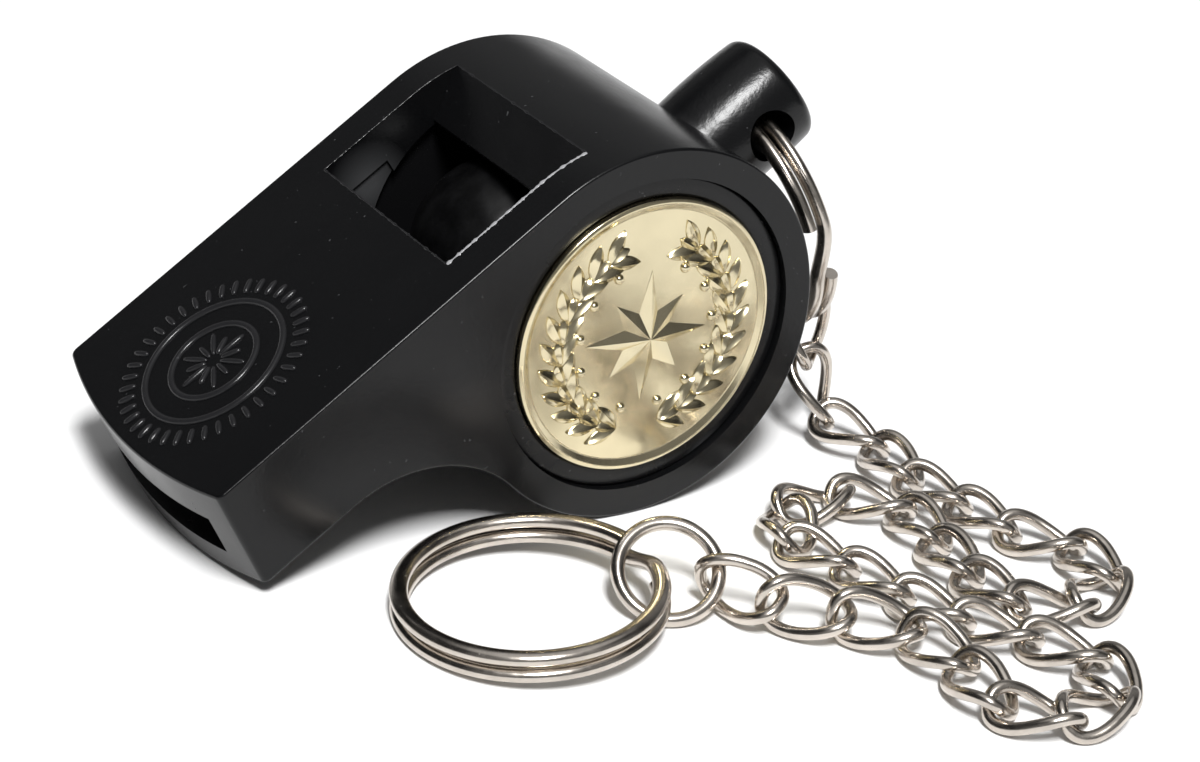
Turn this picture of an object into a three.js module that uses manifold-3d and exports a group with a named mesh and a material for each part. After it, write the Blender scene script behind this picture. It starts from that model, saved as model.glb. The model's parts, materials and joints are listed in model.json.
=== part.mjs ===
// Moulded pea whistle lying nose down on a table, with a curb chain and two split rings. Millimetres, +Z up.
// The whistle is built level, along X with its mouth at -X, and then tipped nose down,
// until the chamber and the lip both touch the table.
import * as THREE from "three";
import { mergeVertices } from "three/addons/utils/BufferGeometryUtils.js";
import Module from "manifold-3d";

const wasm = await Module();
wasm.setup();

// Body moulding
const BODY_WIDTH = 22; // across the two flat sides
const CHAMBER_OD = 26.2; // round chamber
const CHAMBER_WALL = 3; // wall round the chamber
const MOUTH_REACH = 28.2; // chamber axis to the corners of the mouth
const MOUTH_BOW = 1.7; // how far the lips bow out in the middle
const MOUTH_RAKE = 1; // lower lip ahead of the upper lip
const MOUTH_CORNER = 1.3; // corner radius of the lips in plan
const MOUTH_HEIGHT = 7.65; // depth of the mouthpiece
const ARCH_RADIUS = 9.2; // hollow curve under the mouthpiece
const EDGE_ROUND = 0.5; // rounded edge along both sides
const UPPER_LIP = 2.75; // wall above the windway
const WINDWAY_WIDTH = 16.8; // slot that the breath goes through
const WINDWAY_HEIGHT = 2.95;
const WINDOW_FRONT = 7.8; // front edge of the window, ahead of the chamber axis
const WINDOW_LENGTH = 11.5; // along the top
const WINDOW_WIDTH = 16.3; // across the top
const BLADE_BACK = 3.4; // slope of the blade, from the window's rear edge to its tip
const BLADE_EDGE = 0.3; // blunt tip of the blade
const CUT_OVER = 2; // how far a cutter stands out of what it cuts

// Lug for the ring
const LUG_D = 8.2;
const LUG_LENGTH = 6.3; // beyond the chamber
const LUG_ROUND = 1.2; // rounded end
const LUG_END_WALL = 0.95; // between the hole and the end

// Side caps and medallion
const SEAT_GAP = 0.3; // between a piece and its seat
const CAP_OD = 21.5;
const CAP_THICK = 1.6;
const CAP_SUNK = 0.5; // cap face below the flat side
const CAP_EDGE = 0.2; // broken edge
const MEDAL_D = 19.3;
const MEDAL_THICK = 0.7;
const MEDAL_POCKET = 0.5; // pocket in the cap for the medallion
const MEDAL_RIM = 0.7; // width of its raised rim
const MEDAL_DISH = 0.3; // face below the rim
const MEDAL_SLOPE = 0.35; // width of the slope from the rim to the face
const MEDAL_BACK_EDGE = 0.15; // broken edge at the back
const MEDAL_FRONT_EDGE = 0.25; // rounded edge at the front

// Pea
const PEA_D = 13.2;
const PEA_TURN = 112; // degrees round the chamber, from its lowest place towards the mouth

// Split rings, two coils of flattened wire
const RING_MEAN_D = 16.4;
const RING_WIRE_RADIAL = 1.2;
const RING_WIRE_AXIAL = 0.8;
const RING_COIL_GAP = 0.44;
const RING_JOG = 30; // degrees over which the wire passes from one coil to the other
const RING_END = 14.5; // degrees from the middle of the jog to each cut end
const RING_STEPS = 70;
const LUG_RING_TURN = 0; // degrees from the near side of the lug ring to its jog
const KEY_RING_TURN = 190; // degrees from the free side of the key ring to its jog
const RING_HANG = 17; // degrees that the lug ring hangs away from upright
const RING_CLEAR = 0.3; // round the wire in the lug's hole

// Curb chain
const WIRE_D = 0.8;
const LINK_PITCH = 4.5;
const LINK_WIDTH = 4.2; // over the wire
const LINK_CLEAR = 0.4; // between two links that hang in each other
const LINK_TWIST = -45; // degrees, each way, at the two ends
const LINK_OVAL = 2.6; // exponent of the oval, 2 for an ellipse
const LINK_STEPS = 24;
const WIRE_SIDES = 6;
const FIRST_AT = 146; // degrees round the lug ring, where the first link hangs
const FIRST_ROLL = -16; // degrees that the first link is turned on the ring's wire
const FIRST_SEAT = 1.1; // from the ring's wire to the first link's bend, beside the two coils
const DROP_SHARE = [1, 0.93, 0.85, 1]; // share of the remaining drop that each of the first links takes
const STEEPEST = 0.9; // largest share of its length that a link drops
const END_ROLLS = [-6, -16, -30, -48, -66]; // degrees that the last links roll, up to the round link
const END_BELOW = 0.3; // last joint below the middle of the round link
// Heading of each link on the table, in degrees, from the lug to the round link
const HEADINGS = [
  -105, -62, -68, -99, -77, -82, -51, // down from the lug ring and away
  -98, -152, -208, -264, -280, -280, // first bend, and back
  -229, -178, -123, -70, -75, -69, -55, -58, // second bend, and away
  -114, -170, -226, -279, -264, -223, -218, -243, // third bend, and up to the round link
];

// Round link and key ring
const ROUND_OD = 7.4;
const ROUND_WIRE = 0.9;
const ROUND_ROLL = 40; // degrees that it leans on the table
const ROUND_HEADING = -206;
const KEY_HEADING = -194;

const DEG = Math.PI / 180;
const UP = new THREE.Vector3(0, 0, 1);
const plastic = { color: 0x17181a, roughness: 0.32, metalness: 0 };
const capPlastic = { color: 0x222326, roughness: 0.4, metalness: 0 };
const gold = { color: 0xd8cda6, roughness: 0.3, metalness: 0.75 };
const cork = { color: 0x2b2a28, roughness: 0.7, metalness: 0 };
const steel = { color: 0xc9c5bd, roughness: 0.16, metalness: 1 };

// Solids to cut and join
function solid(geometry) {
  const bare = new THREE.BufferGeometry();
  bare.setAttribute("position", geometry.getAttribute("position"));
  if (geometry.index) bare.setIndex(geometry.index);
  const merged = mergeVertices(bare, 1e-4);
  return new wasm.Manifold(
    new wasm.Mesh({
      numProp: 3,
      vertProperties: merged.attributes.position.array,
      triVerts: new Uint32Array(merged.index.array),
    }),
  );
}

function geometryOf(made) {
  const { vertProperties, triVerts } = made.getMesh();
  const geometry = new THREE.BufferGeometry();
  geometry.setAttribute("position", new THREE.BufferAttribute(vertProperties, 3));
  geometry.setIndex(new THREE.BufferAttribute(triVerts, 1));
  return geometry;
}

// A side outline, drawn in X and Z, made as deep as the width across Y
function acrossY(shape, width, round = 0) {
  const geometry = new THREE.ExtrudeGeometry(shape, {
    depth: width - 2 * round,
    curveSegments: 24,
    bevelEnabled: round > 0,
    bevelThickness: round,
    bevelSize: round,
    bevelOffset: -round,
    bevelSegments: 2,
  });
  return geometry.rotateX(Math.PI / 2).translate(0, width / 2 - round, 0);
}

function outline(points) {
  return new THREE.Shape(points.map(([x, z]) => new THREE.Vector2(x, z)));
}

// A turned piece on the Y axis, from pairs of radius and distance along the axis
function turnedY(profile, segments) {
  return new THREE.LatheGeometry(
    profile.map(([r, y]) => new THREE.Vector2(r, y)),
    segments,
  );
}

// Places worked out from the sizes
const chamberR = CHAMBER_OD / 2;
const boreR = chamberR - CHAMBER_WALL;
const halfWidth = BODY_WIDTH / 2;
const lipZ = chamberR - MOUTH_HEIGHT;
const windwayTop = chamberR - UPPER_LIP;
const windwayFloor = windwayTop - WINDWAY_HEIGHT;
const windowRear = WINDOW_LENGTH - WINDOW_FRONT;
const windowRearZ = Math.sqrt(chamberR ** 2 - windowRear ** 2);
const capOuter = halfWidth - CAP_SUNK;
const capInner = capOuter - CAP_THICK;
const capSeat = capInner - SEAT_GAP;
const capBoreR = CAP_OD / 2 + SEAT_GAP;
const ringR = RING_MEAN_D / 2;
const ringDeep = 2 * RING_WIRE_AXIAL + RING_COIL_GAP;
const ringSag = ringR - Math.sqrt(ringR ** 2 - (LUG_D / 2) ** 2);
const lugHoleD = Math.hypot(ringDeep, RING_WIRE_RADIAL + ringSag) + 2 * RING_CLEAR;
const lugEnd = chamberR + LUG_LENGTH;
const lugHoleX = lugEnd - LUG_END_WALL - lugHoleD / 2;
const tipReach = MOUTH_REACH + MOUTH_BOW + MOUTH_RAKE;
const noseDown = Math.atan2(lipZ, tipReach) + Math.asin(chamberR / Math.hypot(tipReach, lipZ));

// Side view of the moulding: flat top, round chamber, hollow curve and lower lip
function sideOutline() {
  const archZ = lipZ - ARCH_RADIUS;
  const archX = -Math.sqrt((chamberR + ARCH_RADIUS) ** 2 - archZ ** 2);
  const meet = Math.atan2(archZ, archX);
  const far = tipReach + CUT_OVER;
  const shape = new THREE.Shape();
  shape.moveTo(-far, lipZ);
  shape.lineTo(-far, chamberR);
  shape.lineTo(0, chamberR);
  shape.absarc(0, 0, chamberR, Math.PI / 2, meet, true);
  shape.absarc(archX, archZ, ARCH_RADIUS, meet + Math.PI, Math.PI / 2 + 2 * Math.PI, false);
  shape.lineTo(-far, lipZ);
  return shape;
}

// Plan of the mouth: bowed lips with rounded corners, raked towards the lower lip
function mouthPlan() {
  const bowR = (halfWidth ** 2 + MOUTH_BOW ** 2) / (2 * MOUTH_BOW);
  const bowX = -MOUTH_REACH - MOUTH_BOW + bowR;
  const inset = halfWidth - MOUTH_CORNER;
  const cornerX = bowX - Math.sqrt((bowR - MOUTH_CORNER) ** 2 - inset ** 2);
  const turn = Math.atan2(inset, cornerX - bowX);
  const spare = halfWidth + CUT_OVER;
  const shape = new THREE.Shape();
  shape.moveTo(lugEnd + CUT_OVER, -spare);
  shape.lineTo(lugEnd + CUT_OVER, spare);
  shape.lineTo(0, spare);
  shape.lineTo(0, halfWidth);
  shape.lineTo(cornerX, halfWidth);
  shape.absarc(cornerX, inset, MOUTH_CORNER, Math.PI / 2, turn, false);
  shape.absarc(bowX, 0, bowR, turn, 2 * Math.PI - turn, false);
  shape.absarc(cornerX, -inset, MOUTH_CORNER, -turn, -Math.PI / 2, false);
  shape.lineTo(0, -halfWidth);
  shape.lineTo(0, -spare);
  const tall = 2 * CHAMBER_OD;
  const geometry = new THREE.ExtrudeGeometry(shape, {
    depth: tall,
    curveSegments: 12,
    bevelEnabled: false,
  });
  geometry.translate(0, 0, -tall / 2);
  // rake: each level slides forward as it goes down from the top face
  const slope = MOUTH_RAKE / MOUTH_HEIGHT;
  const lean = new THREE.Matrix4().makeShear(0, 0, 0, 0, slope, 0);
  return geometry.applyMatrix4(lean).translate(-slope * chamberR, 0, 0);
}

function lugSolid() {
  const r = LUG_D / 2;
  const profile = [new THREE.Vector2(0, boreR), new THREE.Vector2(r, boreR)];
  for (let i = 0; i <= 4; i++) {
    const a = (i / 4) * (Math.PI / 2);
    profile.push(
      new THREE.Vector2(r - LUG_ROUND * (1 - Math.cos(a)), lugEnd - LUG_ROUND * (1 - Math.sin(a))),
    );
  }
  profile.push(new THREE.Vector2(0, lugEnd));
  return solid(new THREE.LatheGeometry(profile, 28).rotateZ(-Math.PI / 2));
}

function bodyGeometry() {
  const wide = BODY_WIDTH + 2 * CUT_OVER;
  let body = solid(acrossY(sideOutline(), BODY_WIDTH, EDGE_ROUND)).intersect(solid(mouthPlan()));
  body = body.add(lugSolid());
  const bore = turnedY([[0, -wide / 2], [boreR, -wide / 2], [boreR, wide / 2], [0, wide / 2]], 48);
  body = body.subtract(solid(bore));
  const seat = turnedY([[0, capSeat], [capBoreR, capSeat], [capBoreR, wide], [0, wide]], 48);
  body = body.subtract(solid(seat)).subtract(solid(seat.clone().rotateX(Math.PI)));
  const breath = new THREE.BoxGeometry(2 * MOUTH_REACH, WINDWAY_WIDTH, WINDWAY_HEIGHT);
  breath.translate(-MOUTH_REACH - WINDOW_FRONT / 2, 0, windwayFloor + WINDWAY_HEIGHT / 2);
  body = body.subtract(solid(breath));
  // window, with the blade's slope at its rear edge
  const bladeX = windowRear - BLADE_BACK;
  const bladeZ = boreR + BLADE_EDGE;
  const rise = (windowRearZ - bladeZ) / BLADE_BACK;
  const over = chamberR + CUT_OVER;
  const cut = outline([
    [-WINDOW_FRONT, over],
    [-WINDOW_FRONT, windwayFloor + WINDWAY_HEIGHT / 2],
    [bladeX, windwayFloor + WINDWAY_HEIGHT / 2],
    [bladeX, bladeZ],
    [bladeX + (over - bladeZ) / rise, over],
  ]);
  body = body.subtract(solid(acrossY(cut, WINDOW_WIDTH)));
  const hole = turnedY([[0, -LUG_D], [lugHoleD / 2, -LUG_D], [lugHoleD / 2, LUG_D], [0, LUG_D]], 24);
  body = body.subtract(solid(hole.translate(lugHoleX, 0, 0)));
  return geometryOf(body);
}

// Cap: a disc, plain or with a shallow pocket for the medallion on its outer face
function capGeometry(pocket) {
  const r = CAP_OD / 2;
  const profile = [[0, capInner], [r, capInner], [r, capOuter - CAP_EDGE], [r - CAP_EDGE, capOuter]];
  const pocketR = MEDAL_D / 2 + SEAT_GAP;
  if (pocket > 0) profile.push([pocketR, capOuter], [pocketR, capOuter - pocket]);
  profile.push([0, capOuter - pocket]);
  return turnedY(profile, 48);
}

// Medallion: a thin disc with a raised, rounded rim
function medalGeometry() {
  const r = MEDAL_D / 2;
  const back = capOuter - MEDAL_POCKET + SEAT_GAP;
  const top = back + MEDAL_THICK;
  const profile = [
    [0, back],
    [r - MEDAL_BACK_EDGE, back],
    [r, back + MEDAL_BACK_EDGE],
    [r, top - MEDAL_FRONT_EDGE],
    [r - MEDAL_FRONT_EDGE, top],
    [r - MEDAL_RIM, top],
    [r - MEDAL_RIM - MEDAL_SLOPE, top - MEDAL_DISH],
    [0, top - MEDAL_DISH],
  ];
  return turnedY(profile, 40);
}

// A tube along points, each with two directions across it; closed on itself or with flat ends
function tube(frames, section, closed) {
  const points = [];
  for (const { at, u, v } of frames)
    for (const [a, b] of section) points.push(at.clone().addScaledVector(u, a).addScaledVector(v, b));
  const n = section.length;
  const index = [];
  const rings = closed ? frames.length : frames.length - 1;
  for (let i = 0; i < rings; i++)
    for (let j = 0; j < n; j++) {
      const a = i * n + j;
      const b = i * n + ((j + 1) % n);
      const c = ((i + 1) % frames.length) * n + j;
      const d = ((i + 1) % frames.length) * n + ((j + 1) % n);
      index.push(a, d, b, a, c, d);
    }
  if (!closed) {
    const end = (frames.length - 1) * n;
    for (let j = 1; j < n - 1; j++) index.push(0, j, j + 1, end, end + j + 1, end + j);
  }
  const geometry = new THREE.BufferGeometry().setFromPoints(points);
  geometry.setIndex(index);
  return geometry;
}

function wireSection(wide, high) {
  const section = [];
  for (let j = 0; j < WIRE_SIDES; j++) {
    const a = (j / WIRE_SIDES) * 2 * Math.PI;
    section.push([(wide / 2) * Math.cos(a), (high / 2) * Math.sin(a) / Math.sin(Math.PI / 3)]);
  }
  return section;
}

// Split ring in the XY plane: two turns of one wire, with a jog from the upper coil to the lower,
// turned from +X by the angle given
function splitRing(label, turn) {
  const frames = [];
  const lift = (RING_WIRE_AXIAL + RING_COIL_GAP) / 2;
  const start = RING_END * DEG;
  const sweep = 4 * Math.PI - 2 * start;
  const heightAt = (a) => {
    const t = THREE.MathUtils.clamp((a - 2 * Math.PI) / (RING_JOG * DEG) + 0.5, 0, 1);
    return lift * (1 - 2 * THREE.MathUtils.smoothstep(t, 0, 1));
  };
  for (let i = 0; i <= RING_STEPS; i++) {
    const a = start + (sweep * i) / RING_STEPS;
    const out = new THREE.Vector3(Math.cos(a), Math.sin(a), 0);
    frames.push({ at: out.clone().multiplyScalar(ringR).setZ(heightAt(a)), u: out, v: UP.clone() });
  }
  let least = Infinity;
  const pointAt = (a) => new THREE.Vector3(ringR * Math.cos(a), ringR * Math.sin(a), heightAt(a));
  for (let a = start; a < start + sweep; a += DEG)
    for (let b = a + Math.PI; b < start + sweep; b += DEG)
      least = Math.min(least, pointAt(a).distanceTo(pointAt(b)) - RING_WIRE_AXIAL);
  console.log(`${label}: least gap between the coils ${least.toFixed(2)} mm`);
  return tube(frames, wireSection(RING_WIRE_RADIAL, RING_WIRE_AXIAL), false).rotateZ(turn * DEG);
}

// Curb link along X: an oval of round wire, twisted each way so that links lie flat and cross squarely
const linkLong = LINK_PITCH + WIRE_D + LINK_CLEAR;
function linkFrames() {
  const frames = [];
  const oval = 2 / LINK_OVAL;
  const at = (t) => {
    const c = Math.cos(t);
    const s = Math.sin(t);
    const x = (linkLong / 2) * Math.sign(c) * Math.abs(c) ** oval;
    const y = ((LINK_WIDTH - WIRE_D) / 2) * Math.sign(s) * Math.abs(s) ** oval;
    const twist = LINK_TWIST * DEG * (x / (linkLong / 2));
    return { point: new THREE.Vector3(x, y * Math.cos(twist), y * Math.sin(twist)), twist };
  };
  for (let i = 0; i < LINK_STEPS; i++) {
    const t = ((i + 0.5) / LINK_STEPS) * 2 * Math.PI;
    const here = at(t);
    const along = at(t + 0.01).point.sub(at(t - 0.01).point).normalize();
    const v = new THREE.Vector3(0, -Math.sin(here.twist), Math.cos(here.twist));
    const u = along.clone().cross(v).normalize();
    frames.push({ at: here.point, u, v: u.clone().cross(along).normalize() });
  }
  return frames;
}

const section = wireSection(WIRE_D, WIRE_D * Math.sin(Math.PI / 3));
const linkGeometry = tube(linkFrames(), section, true);
linkGeometry.computeBoundingBox();
const linkLie = -linkGeometry.boundingBox.min.z; // axis of a link that lies on the table

// Scene graph
const part = new THREE.Group();
const whistle = new THREE.Group();
whistle.rotation.y = -noseDown;
whistle.position.z = chamberR;
part.add(whistle);

function add(parent, name, geometry, look) {
  const mesh = new THREE.Mesh(geometry, new THREE.MeshStandardMaterial(look));
  mesh.name = name;
  parent.add(mesh);
  return mesh;
}

// Sets a mesh by its own X direction, an upward hint and its place
function place(mesh, x, up, at) {
  const z = up.clone().addScaledVector(x, -up.dot(x)).normalize();
  const y = z.clone().cross(x);
  mesh.quaternion.setFromRotationMatrix(new THREE.Matrix4().makeBasis(x, y, z));
  mesh.position.copy(at);
  return mesh;
}

add(whistle, "whistle_body", bodyGeometry(), plastic);
// The seen side looks along -Y, the plain one along +Y
add(whistle, "side_cap_far", capGeometry(0), capPlastic);
add(whistle, "side_cap_near", capGeometry(MEDAL_POCKET).rotateX(Math.PI), capPlastic);
add(whistle, "medallion", medalGeometry().rotateX(Math.PI), gold);

// The pea lies against the far cap and the chamber's wall
const pea = add(part, "pea", new THREE.SphereGeometry(PEA_D / 2, 24, 14), cork);
const peaOut = boreR - PEA_D / 2 - SEAT_GAP;
const peaDown = peaOut * Math.cos(PEA_TURN * DEG);
pea.position.set(-peaOut * Math.sin(PEA_TURN * DEG), capSeat - PEA_D / 2, chamberR - peaDown);

// Lug ring: hangs from the hole, leaning off the back of the chamber
const hole = new THREE.Vector3(lugHoleX * Math.cos(noseDown), 0, lugHoleX * Math.sin(noseDown) + chamberR);
const hang = new THREE.Vector3(Math.sin(RING_HANG * DEG), 0, -Math.cos(RING_HANG * DEG));
const near = new THREE.Vector3(0, -1, 0);
const ringAxis = hang.clone().cross(near);
const ringMiddle = hole.clone().addScaledVector(hang, ringR - ringSag / 2);
const lugRing = add(part, "lug_ring", splitRing("lug_ring", LUG_RING_TURN), steel);
place(lugRing, near, ringAxis, ringMiddle);

// Chain: each link starts where the last one ends, on its heading, down from the ring and along the table
const firstPoint = ringMiddle
  .clone()
  .addScaledVector(hang, -ringR * Math.cos(FIRST_AT * DEG))
  .addScaledVector(near, ringR * Math.sin(FIRST_AT * DEG));
const firstAlong = hang
  .clone()
  .multiplyScalar(Math.sin(FIRST_AT * DEG))
  .addScaledVector(near, Math.cos(FIRST_AT * DEG));
const roundR = (ROUND_OD - ROUND_WIRE) / 2;
const roundLie = roundR * Math.sin(ROUND_ROLL * DEG) + ROUND_WIRE / 2;
const endRise = (roundLie - END_BELOW - linkLie) / END_ROLLS.length;

function direction(heading, drop) {
  const flat = Math.sqrt(1 - drop * drop);
  return new THREE.Vector3(flat * Math.cos(heading * DEG), flat * Math.sin(heading * DEG), -drop);
}

let joint = firstPoint.clone();
HEADINGS.forEach((heading, i) => {
  const toEnd = i - (HEADINGS.length - END_ROLLS.length);
  let drop = 0;
  if (i < DROP_SHARE.length) drop = Math.min(STEEPEST, (DROP_SHARE[i] * (joint.z - linkLie)) / LINK_PITCH);
  if (toEnd >= 0) drop = -endRise / LINK_PITCH;
  const x = direction(heading, drop);
  const link = add(part, `chain_link_${String(i + 1).padStart(2, "0")}`, linkGeometry, steel);
  if (i === 0) {
    const bend = RING_WIRE_RADIAL / 2 + FIRST_SEAT + WIRE_D / 2;
    const up = firstAlong.clone().negate().addScaledVector(x, firstAlong.dot(x)).normalize();
    up.applyAxisAngle(x, FIRST_ROLL * DEG);
    place(link, x, up, joint.clone().addScaledVector(x, linkLong / 2 - bend));
    joint = link.position.clone().addScaledVector(x, LINK_PITCH / 2);
  } else {
    const up = UP.clone().addScaledVector(x, -x.z).normalize();
    if (toEnd >= 0) up.applyAxisAngle(x, END_ROLLS[toEnd] * DEG);
    place(link, x, up, joint.clone().addScaledVector(x, LINK_PITCH / 2));
    joint = joint.clone().addScaledVector(x, LINK_PITCH);
  }
});

// Round link: stands on its lower edge, through the last link and under the key ring
const roundFrames = [];
for (let i = 0; i < LINK_STEPS; i++) {
  const a = ((i + 0.5) / LINK_STEPS) * 2 * Math.PI;
  const out = new THREE.Vector3(Math.cos(a), Math.sin(a), 0);
  roundFrames.push({ at: out.clone().multiplyScalar(roundR), u: out, v: UP.clone() });
}
const roundX = direction(ROUND_HEADING, 0);
const roundUp = UP.clone().applyAxisAngle(roundX, -ROUND_ROLL * DEG);
const roundIn = roundR - (ROUND_WIRE + LINK_CLEAR) / 2;
const roundAt = joint.clone().addScaledVector(roundX, roundIn).setZ(roundLie);
const roundLink = add(
  part,
  "round_link",
  tube(roundFrames, wireSection(ROUND_WIRE, ROUND_WIRE * Math.sin(Math.PI / 3)), true),
  steel,
);
place(roundLink, roundX, roundUp, roundAt);

// Key ring: its near side rests on the round link and its far side on the table
// Its two coils pass slantwise through the round link, so they stand off the bend
const keyX = direction(KEY_HEADING, 0);
const slantDeep = (ringDeep + ROUND_WIRE * Math.cos(ROUND_ROLL * DEG)) / 2 / Math.sin(ROUND_ROLL * DEG);
const keySeat = Math.sqrt((roundR - ROUND_WIRE / 2) ** 2 - slantDeep ** 2);
const keyReach = keySeat - RING_CLEAR - RING_WIRE_RADIAL / 2;
const keyWire = roundAt.clone().addScaledVector(keyX, keyReach);
const keyDrop = (keyWire.z - ringDeep / 2) / (2 * ringR + RING_WIRE_RADIAL / 4);
const keyDown = direction(KEY_HEADING, keyDrop);
const keyRing = add(part, "key_ring", splitRing("key_ring", KEY_RING_TURN), steel);
place(keyRing, keyDown, UP, keyWire.clone().addScaledVector(keyDown, ringR));

// The part's origin is on the table, under the middle of its outline
const box = new THREE.Box3().setFromObject(part, true);
const middle = box.getCenter(new THREE.Vector3());
for (const piece of part.children) piece.position.sub(new THREE.Vector3(middle.x, middle.y, box.min.z));

export default part;
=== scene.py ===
import json
import math

import bmesh
import bpy
from mathutils import Matrix, Vector, noise


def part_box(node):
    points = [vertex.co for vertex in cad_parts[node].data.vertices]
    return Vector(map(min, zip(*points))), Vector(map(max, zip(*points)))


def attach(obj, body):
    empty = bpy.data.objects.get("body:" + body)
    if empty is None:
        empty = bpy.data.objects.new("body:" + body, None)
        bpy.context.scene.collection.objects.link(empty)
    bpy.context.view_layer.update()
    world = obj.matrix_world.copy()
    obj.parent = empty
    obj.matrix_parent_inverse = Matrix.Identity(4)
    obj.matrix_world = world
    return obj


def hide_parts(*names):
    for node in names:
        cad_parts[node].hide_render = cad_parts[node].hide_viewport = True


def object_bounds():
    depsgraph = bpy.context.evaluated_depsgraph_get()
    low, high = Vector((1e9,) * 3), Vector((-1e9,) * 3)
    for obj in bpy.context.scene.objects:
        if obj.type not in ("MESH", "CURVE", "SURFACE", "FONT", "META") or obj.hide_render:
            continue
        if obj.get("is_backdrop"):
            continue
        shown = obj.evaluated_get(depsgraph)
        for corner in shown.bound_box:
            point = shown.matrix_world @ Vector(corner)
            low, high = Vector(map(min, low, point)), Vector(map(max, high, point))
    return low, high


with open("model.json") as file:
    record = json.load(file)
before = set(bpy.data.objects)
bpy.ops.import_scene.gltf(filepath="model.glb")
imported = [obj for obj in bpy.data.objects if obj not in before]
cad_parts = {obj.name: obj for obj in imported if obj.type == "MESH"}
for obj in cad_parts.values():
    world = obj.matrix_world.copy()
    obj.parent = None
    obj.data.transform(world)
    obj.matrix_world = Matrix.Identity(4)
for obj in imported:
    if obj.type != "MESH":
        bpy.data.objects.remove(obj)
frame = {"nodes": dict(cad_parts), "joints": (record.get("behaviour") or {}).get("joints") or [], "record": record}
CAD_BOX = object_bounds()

bl_info = {
    "name": "Pea whistle on a chain",
    "version": (1, 0, 0),
    "blender": (4, 5, 0),
    "location": "View3D > Sidebar > Whistle",
    "description": "Dresses the packed frame of a moulded pea whistle with its chain and split rings",
    "category": "Add Mesh",
}

MM = 0.001
# How far a cutter stands out of what it cuts
OVER = 2 * MM
# Shortest edge that is left before edges are rounded
WELD = 0.15 * MM
# Slivers that the cuts leave are shorter than this
SLIVER = 0.001 * MM
# Points closer than this are one point
SAME = 1e-7
# Edges that turn by more than this are rounded
SHARP = math.radians(35)
# Edges of a piece that turn by more than this, in degrees, are shaded sharp
CRISP, ROUND, WIRE, FACET = 40, 60, 80, 6
# Turn over which the direction of a bent wire is measured
NUDGE = 0.01
# Uneven weights, so that no two places of a mesh have the same number
PLACE_ORDER = Vector((1, 1.3719, 1.7331))
JOINTS = {joint["child"]: joint for joint in frame["joints"]}
MOUNTS = {mount["name"]: mount for mount in frame["record"]["mounts"]}
LINKS = sorted(name for name in frame["nodes"] if name.startswith("chain_link_"))


def axes_at(x, y, z, place):
    axes = Matrix((x, y, z)).transposed().to_4x4()
    axes.translation = place
    return axes


def pivot(name):
    return Vector(JOINTS[name]["pos_m"])


def whistle_axes():
    """The whistle's frame: origin on the chamber's axis, X from mouth to lug, Z out of the flat top."""
    up = Vector(MOUNTS["top_face"]["axis"]).normalized()
    across = Vector((0, 1, 0))
    return axes_at(across.cross(up), across, up, pivot("pea"))


WHISTLE = whistle_axes()


def setting(name, value, text, **limits):
    return bpy.props.FloatProperty(name=name, description=text, default=value, **limits)


def length(name, millimetres, text):
    return setting(name, millimetres * MM, text, unit="LENGTH", precision=5)


def angle(name, degrees, text):
    return setting(name, math.radians(degrees), text, subtype="ANGLE")


def share(name, value, text):
    return setting(name, value, text, min=0, max=1, subtype="FACTOR")


def count(name, value, text):
    return bpy.props.IntProperty(name=name, description=text, default=value, min=1)


def colour(name, value, text):
    return bpy.props.FloatVectorProperty(
        name=name, description=text, default=value, size=3, min=0, max=1, subtype="COLOR"
    )


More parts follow.
